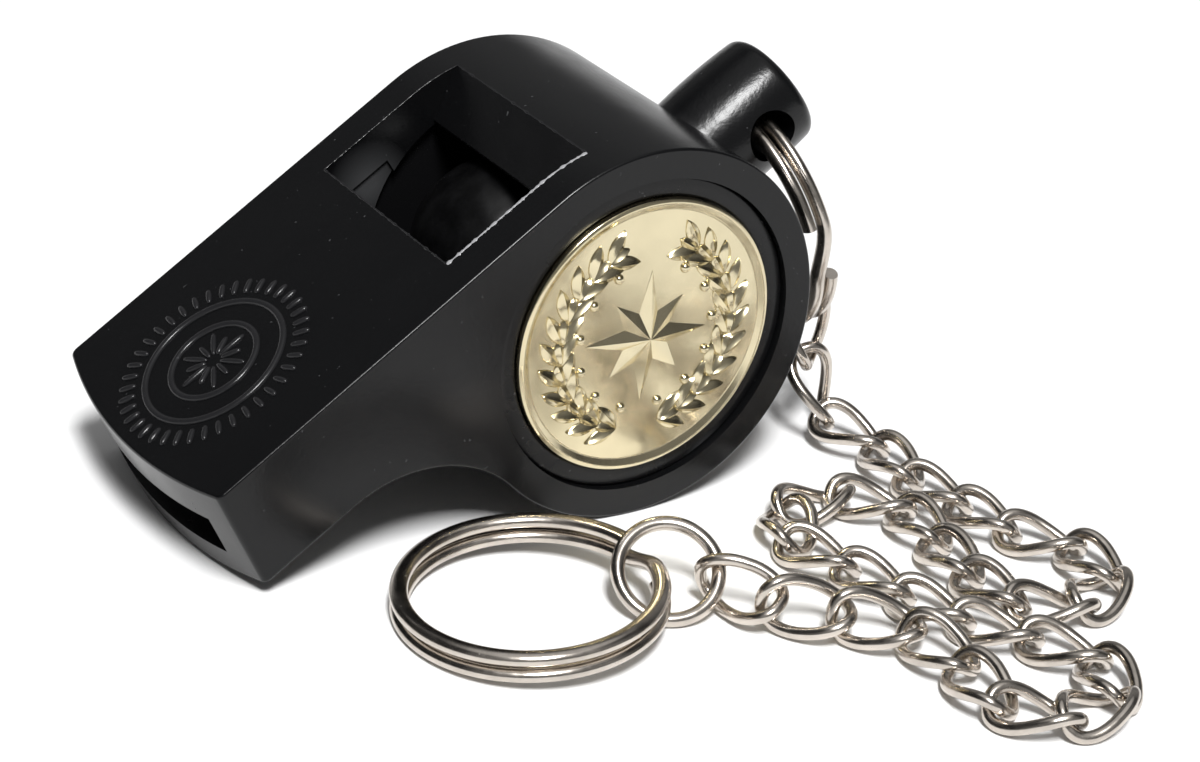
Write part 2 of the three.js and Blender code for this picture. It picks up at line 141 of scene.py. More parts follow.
class WhistleBodySizes(bpy.types.PropertyGroup):
    """Sizes of the black moulding and of what closes its sides"""

    width: length("Width", 22, "Across the two flat sides")
    chamber_radius: length("Chamber radius", 13.1, "Outside of the round chamber")
    bore_radius: length("Bore radius", 10.1, "Inside of the round chamber")
    mouth_reach: length("Mouth reach", 28.2, "Chamber axis to the corners of the mouth")
    mouth_bow: length("Mouth bow", 1.7, "How far the lips bow out in the middle")
    mouth_rake: length("Mouth rake", 1.0, "Lower lip ahead of the upper lip")
    mouth_corner: length("Mouth corner", 0.6, "Corner radius of the lips in plan")
    mouth_height: length("Mouth height", 7.65, "Depth of the mouthpiece")
    arch_radius: length("Arch radius", 9.2, "Hollow curve under the mouthpiece")
    edge_round: length("Edge rounding", 0.2, "Rounded outer edges")
    windway_width: length("Windway width", 16.8, "Slot that the breath goes through")
    windway_top: length("Windway top", 10.35, "Its roof, above the chamber axis")
    windway_height: length("Windway height", 2.95, "Height of the slot")
    window_front: length("Window front", 7.8, "Front edge, ahead of the chamber axis")
    window_rear: length("Window rear", 3.7, "Rear edge, behind the chamber axis")
    window_width: length("Window width", 16.3, "Across the window")
    blade_back: length("Blade slope", 3.4, "From the window's rear edge to the blade's tip")
    blade_edge: length("Blade edge", 0.3, "Blunt tip of the blade")
    flash: length("Flash", 0.085, "Bead that the mould leaves round the window")
    flash_spread: setting("Flash spread", 1.5, "Width of the bead to its height", min=0)
    # The near rim's pale bead is a painted highlight, spread wider than the flash
    rim_highlight_spread: setting("Worn spread", 2.6, "The same along the worn near rim", min=0)
    lug_radius: length("Lug radius", 4.25, "Round lug behind the chamber")
    lug_end: length("Lug end", 20.1, "From the chamber axis")
    lug_round: length("Lug rounding", 0.9, "Rounded end of the lug")
    lug_thick: length("Lug thickest", 15.9, "From the chamber axis")
    lug_barrel: length("Lug barrel", 0.1, "How much thinner it is at its reach")
    lug_foot: length("Lug foot", 0.3, "Rounding at the chamber")
    hole_radius: length("Hole radius", 1.84, "Cross hole for the split ring")
    hole_place: length("Hole place", 16.61, "From the chamber axis")
    seat_radius: length("Cap seat radius", 11.05, "Round seat of the side caps")
    seat_depth: length("Cap seat", 8.6, "Its floor, from the middle")
    cap_radius: length("Cap radius", 11.0, "Side caps")
    cap_inner: length("Cap inner face", 8.9, "From the middle of the whistle")
    cap_outer: length("Cap outer face", 10.5, "From the middle of the whistle")
    cap_round: length("Cap rounding", 0.18, "Rounded edges")
    pocket_depth: length("Pocket", 0.5, "For the medallion, in the near cap")
    pocket_clear: length("Pocket clearance", 0.04, "Between the medallion and its pocket")
    medal_radius: length("Medallion radius", 9.65, "Gold disc on the near cap")
    medal_back: length("Medallion back", 10.3, "From the middle of the whistle")
    medal_rim: length("Medallion rim", 11.0, "Top of its raised rim")
    rim_drop: length("Rim drop", 0.12, "Outer edge of the rim below its top")
    rim_top: length("Rim top", 0.3, "From the edge of the disc")
    rim_wide: length("Rim width", 0.75, "From the edge of the disc to its face")
    medal_round: length("Medallion rounding", 0.1, "Rounded edges")
    medal_field: length("Medallion field", 10.72, "Its face at the edge")
    medal_crown: length("Medallion crown", 0.14, "How far its face swells in the middle")
    medal_turn: angle("Medallion turn", 35, "Turn that sets its design upright")
    pea_radius: length("Pea radius", 6.6, "Ball in the chamber")
    pea_uneven: share("Pea unevenness", 0.012, "How far it is out of round")
    pea_dents: length("Pea dents", 1.6, "Size of its dents")


class ReliefSizes(bpy.types.PropertyGroup):
    """Sizes of the raised work on the top face and on the medallion"""

    roundel_place: length("Roundel place", -22.2, "Its middle, from the chamber axis")
    roundel_height: length("Roundel height", 0.2, "How far it stands off the top face")
    ring_radius: length("Main ring", 5, "Its radius")
    inner_radius: length("Inner ring", 3.1, "Its radius")
    ring_wide: length("Ring width", 0.5, "Of both rings")
    rays: count("Rays", 12, "Long and short, by turns")
    ray_start: length("Ray start", 0.5, "From the middle to a ray")
    ray_long: length("Long ray", 2.1, "Its length")
    ray_short: length("Short ray", 1.5, "Its length")
    ray_wide: length("Ray width", 0.42, "Of every ray")
    reeds: count("Reeds", 40, "Short bars of the border")
    reed_start: length("Reed start", 5.65, "From the middle to a reed")
    reed_long: length("Reed length", 1.3, "Of every reed")
    reed_wide: length("Reed width", 0.44, "Of every reed")
    stem_radius: length("Stem radius", 6.6, "Where the sprigs of the wreath run")
    sprays: count("Sprays", 11, "Of three leaves each, on a sprig")
    spray_foot: angle("Spray foot", 166, "From the disc's top to the lowest spray")
    spray_step: angle("Spray step", 13.4, "From one spray to the next")
    leaf_out: angle("Outer leaf", 32, "Its lean from the stem")
    leaf_in: angle("Inner leaf", 34, "Its lean from the stem")
    leaf_long: length("Leaf length", 1.25, "Half of it, for a leaf that leans")
    leaf_short: length("Short leaf", 0.9, "Half the length of the one between")
    leaf_wide: length("Leaf width", 0.52, "Half of it")
    leaf_high: length("Leaf height", 0.42, "Above the face")
    berry_radius: length("Berry radius", 0.36, "Berries inside the wreath")
    berry_in: length("Berry place", 1.45, "From the stem in to a berry")
    berry_on: length("Berry shift", 0.2, "From a spray's foot on to its berry")
    star_radius: length("Star radius", 4.7, "Long points of the star")
    star_height: length("Star height", 0.62, "From its base to its tip")
    star_lift: length("Star lift", 0.3, "Half way up it, above the face")
    star_short: share("Short points", 0.78, "As a share of the long ones")
    star_notch: share("Notches", 0.4, "As a share of the long points")


class ChainSizes(bpy.types.PropertyGroup):
    """Sizes of the rings and links"""

    wire: length("Link wire", 0.83, "Its diameter")
    seat: length("Link seat", 0.8, "Room at a link's ends for the next wire")
    pitch: length("Link pitch", 4.5, "From joint to joint")
    width: length("Link width", 4.2, "Over the wire")
    clear: length("Link clearance", 0.4, "Between two linked wires")
    twist: angle("Link twist", -45, "Turn of each end of a link, each way")
    first_roll: angle("First link roll", -16, "Its turn on the ring's wire")
    oval: setting("Oval", 2.6, "Squareness of a link's oval", min=2)
    ring_radius: length("Ring radius", 8.2, "Middle of the split rings' wire")
    ring_wire: length("Ring wire", 1.2, "Width of the flattened wire")
    ring_coil: length("Coil", 0.94, "Thickness of one coil")
    ring_gap: length("Coil gap", 0.2, "Between the two coils")
    ring_jog: angle("Jog", 30, "Turn from coil to coil")
    ring_end: angle("Cut end", 14.5, "From the middle of the jog")
    key_ring_turn: angle("Key ring turn", 190, "From its free side to its jog")
    round_wire: length("Round link wire", 0.95, "Its diameter")
    round_radius: length("Round link radius", 3.25, "Middle of its wire")
    round_roll: angle("Round link roll", 40, "How far it leans on the table")


class Finishes(bpy.types.PropertyGroup):
    """Colours and gloss"""

    plastic: colour("Plastic", (0.0036, 0.0037, 0.0041), "Black moulded body")
    plastic_rough: share("Plastic roughness", 0.22, "Gloss of the moulding")
    plastic_shine: share("Plastic shine", 0.27, "Strength of its reflections")
    # Dust specks, and also the pale patch painted on the window's far wall as a lit sheen
    dust: colour("Dust", (0.05, 0.051, 0.053), "Specks and bloom on the moulding")
    # Lighter than the body as a painted highlight, standing in for the light that the roundel and the flash catch
    raised: colour("Raised work", (0.013, 0.013, 0.014), "Scuffed roundel and flash")
    # Painted highlight: a pale colour along the window's near rim, standing in for the light line that the rim
    # catches
    worn: colour("Worn edge", (0.3, 0.3, 0.31), "Near rim of the window, worn pale")
    cap: colour("Cap", (0.0042, 0.0042, 0.0046), "Side caps")
    cap_rough: share("Cap roughness", 0.253, "Gloss of the side caps")
    gold: colour("Gold", (0.70, 0.62, 0.42), "Pale plate of the medallion")
    nickel: colour("Nickel", (0.63, 0.575, 0.515), "Plate of the chain and rings")
    pea: colour("Pea", (0.0026, 0.0026, 0.0028), "Dark ball")
    floor: colour("Floor", (0.88, 0.88, 0.88), "Plain pale table")


def sizes():
    return bpy.context.scene.whistle_body


def relief():
    return bpy.context.scene.whistle_relief


def chain():
    return bpy.context.scene.whistle_chain


def finish():
    return bpy.context.scene.whistle_finish


def paint(name):
    return tuple(getattr(finish(), name))


# Meshes

def linked(name, data):
    holder = bpy.data.objects.new(name, data)
    bpy.context.scene.collection.objects.link(holder)
    return holder


def new_object(name, bm, material, matrix=None, smooth_angle=CRISP):
    """Makes a finished piece from a bmesh, shaded sharp where it turns by more than the angle."""
    if matrix is not None:
        bm.transform(matrix)
    mesh = bpy.data.meshes.new(name)
    bm.to_mesh(mesh)
    bm.free()
    for polygon in mesh.polygons:
        polygon.use_smooth = True
    mesh.set_sharp_from_angle(angle=math.radians(smooth_angle))
    mesh.materials.append(material)
    return linked(name, mesh)


def dress(piece, body, slot, *nodes):
    """Sets a piece on its body and hides the nodes that it stands for; the material slot is not used."""
    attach(piece, body)
    if nodes:
        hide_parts(*nodes)


def arc(bm, vert, centre, axis, turn, steps):
    """Carries a vertex round a centre as a chain of edges, and returns the last vertex."""
    done = bmesh.ops.spin(
        bm, geom=[vert], cent=centre, axis=axis, dvec=(0, 0, 0), angle=turn, steps=steps, use_duplicate=False
    )
    return next(item for item in done["geom_last"] if isinstance(item, bmesh.types.BMVert))


def line(bm, vert, *points):
    """Carries a vertex through points as edges, and returns the last vertex."""
    for point in points:
        step = bm.verts.new(point)
        bm.edges.new((vert, step))
        vert = step
    return vert


def slab(bm, direction):
    """Closes an outline, fills it and makes it as deep as the direction."""
    bmesh.ops.remove_doubles(bm, verts=bm.verts, dist=SAME)
    bmesh.ops.contextual_create(bm, geom=bm.edges[:])
    raised = bmesh.ops.extrude_face_region(bm, geom=bm.faces[:])["geom"]
    verts = [item for item in raised if isinstance(item, bmesh.types.BMVert)]
    bmesh.ops.translate(bm, verts=verts, vec=direction)
    bmesh.ops.recalc_face_normals(bm, faces=bm.faces)
    return bm


def turned(points, axis, steps):
    """A turned piece from a profile of edges, merged at the seam and the poles."""
    bm = bmesh.new()
    line(bm, bm.verts.new(points[0]), *points[1:])
    bmesh.ops.spin(
        bm, geom=bm.verts[:] + bm.edges[:], cent=(0, 0, 0), axis=axis, dvec=(0, 0, 0),
        angle=2 * math.pi, steps=steps, use_merge=True, use_duplicate=False,
    )
    bmesh.ops.remove_doubles(bm, verts=bm.verts, dist=SAME)
    bmesh.ops.recalc_face_normals(bm, faces=bm.faces)
    return bm


def rounded_profile(points, radius, steps=3):
    """Rounds the corners of a profile, given as points with a flag for those that are rounded."""
    rounded = []
    for number, (point, soft) in enumerate(points):
        here = Vector(point)
        if not soft:
            rounded.append(here)
            continue
        back = (Vector(points[number - 1][0]) - here).normalized() * radius
        ahead = (Vector(points[number + 1][0]) - here).normalized() * radius
        for step in range(steps + 1):
            t = step / steps
            rounded.append(here + back * (1 - t) ** 2 + ahead * t ** 2)
    return rounded


def place_order(item):
    """A number for each place, because the order that the solver leaves differs from run to run."""
    points = getattr(item, "verts", [item])
    return sum(point.co.dot(PLACE_ORDER) for point in points) / len(points)


def cut(target, cutter, operation):
    """Joins or cuts a bmesh with another one, and returns the result as a bmesh."""
    pair = []
    for name, bm in (("target", target), ("cutter", cutter)):
        mesh = bpy.data.meshes.new(name)
        bm.to_mesh(mesh)
        bm.free()
        pair.append(linked(name, mesh))
    boolean = pair[0].modifiers.new("cut", "BOOLEAN")
    boolean.object = pair[1]
    boolean.operation = operation
    boolean.solver = "EXACT"
    bpy.context.view_layer.update()
    done = bpy.data.meshes.new_from_object(pair[0].evaluated_get(bpy.context.evaluated_depsgraph_get()))
    result = bmesh.new()
    result.from_mesh(done)
    for items in (result.verts, result.edges, result.faces):
        items.sort(key=place_order)
    for piece in pair:
        mesh = piece.data
        bpy.data.objects.remove(piece)
        bpy.data.meshes.remove(mesh)
    bpy.data.meshes.remove(done)
    return result


def soften(bm, width, segments, chosen):
    """Rounds those of the chosen edges that are sharp."""
    edges = [
        edge
        for edge in bm.edges
        if len(edge.link_faces) == 2 and edge.calc_face_angle() > SHARP and chosen(edge)
    ]
    bmesh.ops.bevel(
        bm, geom=edges, offset=width, offset_type="OFFSET", affect="EDGES", segments=segments,
        profile=0.5, material=-1, clamp_overlap=True,
    )


def middle(edge):
    return (edge.verts[0].co + edge.verts[1].co) / 2


def tube(stations, sides, closed):
    """A wire from circles set at stations, each a matrix with Z along the wire, bridged one to the next."""
    bm = bmesh.new()
    rings = []
    for station in stations:
        made = bmesh.ops.create_circle(bm, cap_ends=False, segments=sides, radius=1, matrix=station)
        rings.append(made["verts"])
    for one, other in zip(rings, rings[1:] + (rings[:1] if closed else [])):
        for number in range(sides):
            after = (number + 1) % sides
            bm.faces.new((one[number], one[after], other[after], other[number]))
    if not closed:
        for ring in (rings[0], rings[-1]):
            bm.faces.new(ring)
    bmesh.ops.recalc_face_normals(bm, faces=bm.faces)
    return bm


def station(place, along, across, wide, high):
    """Matrix of a wire's section: X across by half its width, Y by half its height, Z along the wire."""
    z = along.normalized()
    x = (across - z * across.dot(z)).normalized()
    y = z.cross(x)
    return axes_at(x * wide / 2, y * high / 2, z, place)


# Materials

def shader(name):
    material = bpy.data.materials.new(name)
    material.use_nodes = True
    tree = material.node_tree
    return material, tree, tree.nodes["Principled BSDF"]


def spot_noise(tree, cells, detail, roughness=0.5):
    """Noise on the piece's own coordinates, in cells per metre."""
    place = tree.nodes.new("ShaderNodeTexCoord")
    texture = tree.nodes.new("ShaderNodeTexNoise")
    texture.inputs["Scale"].default_value = cells
    texture.inputs["Detail"].default_value = detail
    texture.inputs["Roughness"].default_value = roughness
    tree.links.new(place.outputs["Object"], texture.inputs["Vector"])
    return texture.outputs["Fac"]


def ramp(tree, value, stops):
    """Turns a value into tones or colours, from stops of a place and what it has there."""
    node = tree.nodes.new("ShaderNodeValToRGB")
    elements = node.color_ramp.elements
    while len(elements) < len(stops):
        elements.new(0.5)
    for element, (place, tone) in zip(elements, stops):
        element.position = place
        element.color = (tone, tone, tone, 1) if isinstance(tone, (int, float)) else (*tone, 1)
    tree.links.new(value, node.inputs["Fac"])
    return node.outputs["Color"]


def bump(tree, shader_node, height, strength, distance):
    """Adds a bump to the shader's others, as strong as a number or a mask says."""
    node = tree.nodes.new("ShaderNodeBump")
    if isinstance(strength, float):
        node.inputs["Strength"].default_value = strength
    else:
        tree.links.new(strength, node.inputs["Strength"])
    node.inputs["Distance"].default_value = distance
    tree.links.new(height, node.inputs["Height"])
    earlier = shader_node.inputs["Normal"].links
    if earlier:
        tree.links.new(earlier[0].from_socket, node.inputs["Normal"])
    tree.links.new(node.outputs["Normal"], shader_node.inputs["Normal"])


def tint(value, factor):
    return tuple(min(1, channel * factor) for channel in value)


def spot(tree, centre, radius):
    """One at a point of the piece's own coordinates, falling to nothing at the radius."""
    place = tree.nodes.new("ShaderNodeTexCoord")
    mapping = tree.nodes.new("ShaderNodeMapping")
    mapping.vector_type = "TEXTURE"
    mapping.inputs["Location"].default_value = centre
    mapping.inputs["Scale"].default_value = (radius, radius, radius)
    tree.links.new(place.outputs["Object"], mapping.inputs["Vector"])
    ball = tree.nodes.new("ShaderNodeTexGradient")
    ball.gradient_type = "SPHERICAL"
    tree.links.new(mapping.outputs["Vector"], ball.inputs["Vector"])
    return ball.outputs["Fac"]


def black_plastic(name, base, rough, painted_sheen=None, grain=None):
    """Black moulding: cloudy gloss, faint sink marks, specks of dust, and where asked a pale patch of painted
    sheen and a patch of grain.
    """
    material, tree, node = shader(name)
    dust = paint("dust")
    specks = ramp(tree, spot_noise(tree, cells=2600, detail=2), [(0.0, base), (0.74, base), (0.765, dust)])
    # Painted sheen: blends the pale colour into a patch round a point, standing in for light on the far wall
    if painted_sheen:
        mix = tree.nodes.new("ShaderNodeMixRGB")
        mix.inputs["Color2"].default_value = (*dust, 1)
        tree.links.new(ramp(tree, spot(tree, *painted_sheen), [(0.0, 0.0), (0.8, 1.0)]), mix.inputs["Fac"])
        tree.links.new(specks, mix.inputs["Color1"])
        specks = mix.outputs["Color"]
    tree.links.new(specks, node.inputs["Base Color"])
    cloud = spot_noise(tree, cells=160, detail=5, roughness=0.6)
    gloss = ramp(tree, cloud, [(0.3, rough * 0.85), (0.7, rough * 1.25)])
    tree.links.new(gloss, node.inputs["Roughness"])
    node.inputs["Specular IOR Level"].default_value = finish().plastic_shine
    bump(tree, node, spot_noise(tree, cells=110, detail=2), strength=0.1, distance=0.6 * MM)
    bump(tree, node, spot_noise(tree, cells=3200, detail=3), strength=0.12, distance=0.06 * MM)
    if grain:
        mask = ramp(tree, spot(tree, *grain), [(0.1, 0.0), (0.5, 0.22)])
        rough_skin = spot_noise(tree, cells=1500, detail=4, roughness=0.7)
        bump(tree, node, rough_skin, strength=mask, distance=0.12 * MM)
    return material


def nickel_plate(name, base):
    """Nickel plate: warm bright metal, fine drawing marks and duller patches."""
    material, tree, node = shader(name)
    node.inputs["Metallic"].default_value = 1
    patches = spot_noise(tree, cells=420, detail=4, roughness=0.6)
    tones = [(0.25, tint(base, 0.7)), (0.6, base), (0.85, tint(base, 1.12))]
    tree.links.new(ramp(tree, patches, tones), node.inputs["Base Color"])
    marks = spot_noise(tree, cells=900, detail=4, roughness=0.65)
    tree.links.new(ramp(tree, marks, [(0.3, 0.15), (0.7, 0.28)]), node.inputs["Roughness"])
    bump(tree, node, spot_noise(tree, cells=1300, detail=3), strength=0.05, distance=0.06 * MM)
    return material


def gold_plate(name, base):
    """Pale gold plate: soft sheen, slightly cloudy."""
    material, tree, node = shader(name)
    node.inputs["Metallic"].default_value = 1
    cloud = spot_noise(tree, cells=150, detail=4, roughness=0.6)
    tones = [(0.25, tint(base, 0.88)), (0.55, base), (0.8, tint(base, 1.07))]
    tree.links.new(ramp(tree, cloud, tones), node.inputs["Base Color"])
    sheen = spot_noise(tree, cells=700, detail=3)
    tree.links.new(ramp(tree, sheen, [(0.3, 0.13), (0.7, 0.24)]), node.inputs["Roughness"])
    bump(tree, node, spot_noise(tree, cells=170, detail=3), strength=0.1, distance=0.3 * MM)
    return material


def dark_ball(name, base):
    """Dark ball: finely pitted, with a dull shine."""
    material, tree, node = shader(name)
    grain = spot_noise(tree, cells=900, detail=6, roughness=0.65)
    tones = [(0.3, tint(base, 0.5)), (0.5, base), (0.72, tint(base, 1.9))]
    tree.links.new(ramp(tree, grain, tones), node.inputs["Base Color"])
    node.inputs["Roughness"].default_value = 0.3
    node.inputs["Specular IOR Level"].default_value = finish().plastic_shine
    bump(tree, node, grain, strength=0.12, distance=0.1 * MM)
    return material


def matt_floor(name, base):
    """Pale matt table, very slightly uneven."""
    material, tree, node = shader(name)
    grain = spot_noise(tree, cells=60, detail=3)
    tones = [(0.2, tint(base, 0.985)), (0.8, tint(base, 1.01))]
    tree.links.new(ramp(tree, grain, tones), node.inputs["Base Color"])
    node.inputs["Roughness"].default_value = 0.9
    node.inputs["Specular IOR Level"].default_value = 0.15
    return material


# Body moulding

def side_block(s):
    """The side view, as deep as the whistle is wide: flat top, round chamber, hollow curve, lower lip."""
    lip = s.chamber_radius - s.mouth_height
    reach = s.mouth_reach + s.mouth_bow + s.mouth_rake + OVER
    hollow = lip - s.arch_radius
    hollow_x = -math.sqrt((s.chamber_radius + s.arch_radius) ** 2 - hollow ** 2)
    meet = math.atan2(hollow, hollow_x) % (2 * math.pi)
    near = -s.width / 2
    bm = bmesh.new()
    top = bm.verts.new((0, near, s.chamber_radius))
    vert = arc(bm, top, (0, near, 0), (0, 1, 0), math.pi / 2 + 2 * math.pi - meet, steps=96)
    back = math.pi / 2 - (meet - math.pi)
    vert = arc(bm, vert, (hollow_x, near, hollow), (0, -1, 0), back, steps=32)
    vert = line(bm, vert, (-reach, near, lip), (-reach, near, s.chamber_radius))
    bm.edges.new((vert, top))
    return slab(bm, (0, s.width, 0))


def mouth_plan(s):
    """Bowed lips with rounded corners, as a tall block that leans forward towards the lower lip."""
    half = s.width / 2
    bow = (half ** 2 + s.mouth_bow ** 2) / (2 * s.mouth_bow)
    bow_x = bow - s.mouth_reach - s.mouth_bow
    inset = half - s.mouth_corner
    corner_x = bow_x - math.sqrt((bow - s.mouth_corner) ** 2 - inset ** 2)
    turn = math.atan2(inset, corner_x - bow_x)
    spare = half + OVER
    low = -2 * s.chamber_radius
    bm = bmesh.new()
    first = bm.verts.new((2 * s.chamber_radius, -spare, low))
    vert = line(
        bm, first, (2 * s.chamber_radius, spare, low), (0, spare, low), (0, half, low), (corner_x, half, low)
    )
    vert = arc(bm, vert, (corner_x, inset, low), (0, 0, 1), turn - math.pi / 2, steps=5)
    vert = arc(bm, vert, (bow_x, 0, low), (0, 0, 1), 2 * (math.pi - turn), steps=32)
    vert = arc(bm, vert, (corner_x, -inset, low), (0, 0, 1), turn - math.pi / 2, steps=5)
    vert = line(bm, vert, (0, -half, low), (0, -spare, low))
    bm.edges.new((vert, first))
    slab(bm, (0, 0, 4 * s.chamber_radius))
    lean = Matrix.Identity(4)
    lean[0][2] = s.mouth_rake / s.mouth_height
    lean[0][3] = -lean[0][2] * s.chamber_radius
    bm.transform(lean)
    return bm


# From the lug's thickest place to where it is thinner by its barrel
LUG_REACH = 3 * MM


def lug_radius_at(s, x):
    """Radius of the barrel-shaped lug at a distance from the chamber's axis."""
    return s.lug_radius - s.lug_barrel * ((x - s.lug_thick) / LUG_REACH) ** 2


def lug_block(s):
    """The lug, slightly barrel-shaped, with a rounded end."""
    points = [Vector((s.bore_radius, 0, 0))]
    last = s.lug_end - s.lug_round
    steps = 12
    for step in range(steps + 1):
        x = s.bore_radius + (last - s.bore_radius) * step / steps
        points.append(Vector((x, 0, lug_radius_at(s, x))))
    shoulder = lug_radius_at(s, last) - s.lug_round
    steps = 8
    for step in range(1, steps + 1):
        a = step / steps * math.pi / 2
        points.append(Vector((last + s.lug_round * math.sin(a), 0, shoulder + s.lug_round * math.cos(a))))
    points.append(Vector((s.lug_end, 0, 0)))
    return turned(points, (1, 0, 0), steps=64)


def drum(radius, low, high, steps, x=0.0):
    """A plain cutter along Y."""
    bm = turned([(0, low, 0), (0, low, radius), (0, high, radius), (0, high, 0)], (0, 1, 0), steps)
    bmesh.ops.translate(bm, verts=bm.verts, vec=(x, 0, 0))
    return bm


def box(low, high):
    bm = bmesh.new()
    bmesh.ops.create_cube(bm, size=1)
    size = Vector(high) - Vector(low)
    bmesh.ops.scale(bm, verts=bm.verts, vec=size)
    bmesh.ops.translate(bm, verts=bm.verts, vec=Vector(low) + size / 2)
    return bm


def window_cutter(s):
    """The window's outline from the side, with the blade's slope at the rear."""
    tip_x = s.window_rear - s.blade_back
    tip_z = s.bore_radius + s.blade_edge
    rear_z = math.sqrt(s.chamber_radius ** 2 - s.window_rear ** 2)
    over = s.chamber_radius + OVER
    slope = (rear_z - tip_z) / s.blade_back
    floor = s.windway_top - s.windway_height / 2
    near = -s.window_width / 2
    bm = bmesh.new()
    first = bm.verts.new((-s.window_front, near, over))
    vert = line(
        bm, first, (-s.window_front, near, floor), (tip_x, near, floor), (tip_x, near, tip_z),
        (tip_x + (over - tip_z) / slope, near, over),
    )
    bm.edges.new((vert, first))
    return slab(bm, (0, s.window_width, 0))


def rim_point(s, x, y):
    """A point of the top face or of the chamber's crown behind it."""
    return Vector((x, y, math.sqrt(s.chamber_radius ** 2 - max(0, x) ** 2)))


def flash_bead(s, start, end, seed, spread):
    """A thin ragged bead along one rim of the window, as the mould leaves it, spread over the edge."""
    wave, ripple, ripple_share = 0.31, 0.83, 0.6
    least, mean, swing = 0.45, 0.8, 1.5
    steps = 90
    points = [rim_point(s, *(start + (end - start) * step / steps)) for step in range(steps + 1)]
    stations = []
    for number, point in enumerate(points):
        along = points[min(number + 1, steps)] - points[max(number - 1, 0)]
        coarse = noise.noise(Vector((number * wave, seed, 0)))
        rough = coarse + ripple_share * noise.noise(Vector((number * ripple, seed, 7)))
        thick = s.flash * max(least, mean + swing * rough)
        stations.append(station(point, along, Vector((0, 0, 1)), thick, spread * thick))
    return tube(stations, sides=8, closed=False)


# A pale patch painted on the window's far wall as a lit sheen, and a grain on the lug
PAINTED_SHEEN_RADIUS = 3.3 * MM
PAINTED_SHEEN_DROP = 0.6 * MM
PAINTED_SHEEN_FORWARD = 0.75
GRAIN_RADIUS = 8 * MM


class WHISTLE_OT_body(bpy.types.Operator):
    """Models the black moulding: mouthpiece, windway, window, blade, chamber and lug"""

    bl_idname = "whistle.body"
    bl_label = "Body moulding"

    def execute(self, context):
        s = sizes()
        wide = s.width / 2 + OVER
        bm = cut(side_block(s), mouth_plan(s), "INTERSECT")
        bmesh.ops.remove_doubles(bm, verts=bm.verts, dist=WELD)
        soften(bm, s.edge_round, segments=4, chosen=lambda edge: True)
        breath = box(
            (-2 * s.mouth_reach, -s.windway_width / 2, s.windway_top - s.windway_height),
            (-s.window_front / 2, s.windway_width / 2, s.windway_top),
        )
        for cutter in (
            drum(s.bore_radius, -wide, wide, steps=96),
            drum(s.seat_radius, s.seat_depth, wide, steps=128),
            drum(s.seat_radius, -wide, -s.seat_depth, steps=128),
            breath,
            window_cutter(s),
        ):
            bm = cut(bm, cutter, "DIFFERENCE")
        bm = cut(bm, lug_block(s), "UNION")
        foot_start, foot_end = s.chamber_radius * 0.85, s.lug_end - 4 * MM
        soften(bm, s.lug_foot, segments=3, chosen=lambda edge: foot_start < middle(edge).x < foot_end)
        through = 2 * s.lug_radius
        bm = cut(bm, drum(s.hole_radius, -through, through, steps=48, x=s.hole_place), "DIFFERENCE")
        bmesh.ops.remove_doubles(bm, verts=bm.verts, dist=2 * SLIVER)
        bmesh.ops.dissolve_degenerate(bm, edges=bm.edges, dist=SLIVER)
        if not bm.faces:
            raise RuntimeError("the body moulding came out empty")
        half = s.window_width / 2
        # Centre of the painted sheen, a pale patch standing in for light caught on the window's far wall
        painted_sheen = WHISTLE @ Vector((-s.window_front * PAINTED_SHEEN_FORWARD, half, s.windway_top - PAINTED_SHEEN_DROP))
        lug = WHISTLE @ Vector((s.lug_thick, 0, 0))
        material = black_plastic(
            "black_plastic", paint("plastic"), finish().plastic_rough,
            painted_sheen=(painted_sheen, PAINTED_SHEEN_RADIUS), grain=(lug, GRAIN_RADIUS),
        )
        piece = new_object("body_moulding", bm, material, WHISTLE)
        piece.modifiers.new("even_faces", "WEIGHTED_NORMAL").keep_sharp = True
        dress(piece, "whistle", "body_plastic", "whistle_body")
        # The flash beads take the lighter raised tone, a painted highlight
        ragged = black_plastic("flash_plastic", paint("raised"), finish().plastic_rough)
        # Painted highlight: the pale bead along the window's near rim
        worn = black_plastic("worn_plastic", paint("worn"), finish().plastic_rough)
        front, rear = -s.window_front, s.window_rear
        rims = (
            ("flash_far", (front, half), (rear, half), ragged, s.flash_spread),
            ("flash_front", (front, -half), (front, half), ragged, s.flash_spread),
            ("flash_rear", (rear, -half), (rear, half), ragged, s.flash_spread),
            ("flash_near", (front, -half), (rear, -half), worn, s.rim_highlight_spread),
        )
        for seed, (name, start, end, skin, spread) in enumerate(rims):
            bead = flash_bead(s, Vector(start), Vector(end), 3 + 5 * seed, spread)
            dress(new_object(name, bead, skin, WHISTLE, ROUND), "whistle", "body_plastic")
        return {"FINISHED"}


def hoop(radius, wide, high):
    """A low rounded ring on a face that looks along +Z."""
    points = [(radius - wide / 2, 0, -high)]
    steps = 8
    for step in range(steps + 1):
        a = step / steps * math.pi
        points.append((radius - wide / 2 * math.cos(a), 0, high * math.sin(a)))
    points += [(radius + wide / 2, 0, -high), points[0]]
    return turned(points, (0, 0, 1), steps=128)


def ribs(number, start, lengths, wide, high):
    """Low rounded bars with blunt ends, round the middle of the roundel, of each length by turns."""
    blunt = 0.6
    bm = bmesh.new()
    for step in range(number):
        long = lengths[step % len(lengths)]
        made = bmesh.ops.create_uvsphere(bm, u_segments=12, v_segments=8, radius=1)["verts"]
        for vert in made:
            square = math.copysign(abs(vert.co.x) ** blunt, vert.co.x)
            vert.co = Vector((start + (square + 1) * long / 2, vert.co.y * wide / 2, vert.co.z * high))
        turn = Matrix.Rotation(step * 2 * math.pi / number, 3, "Z")
        bmesh.ops.rotate(bm, verts=made, cent=(0, 0, 0), matrix=turn)
    return bm


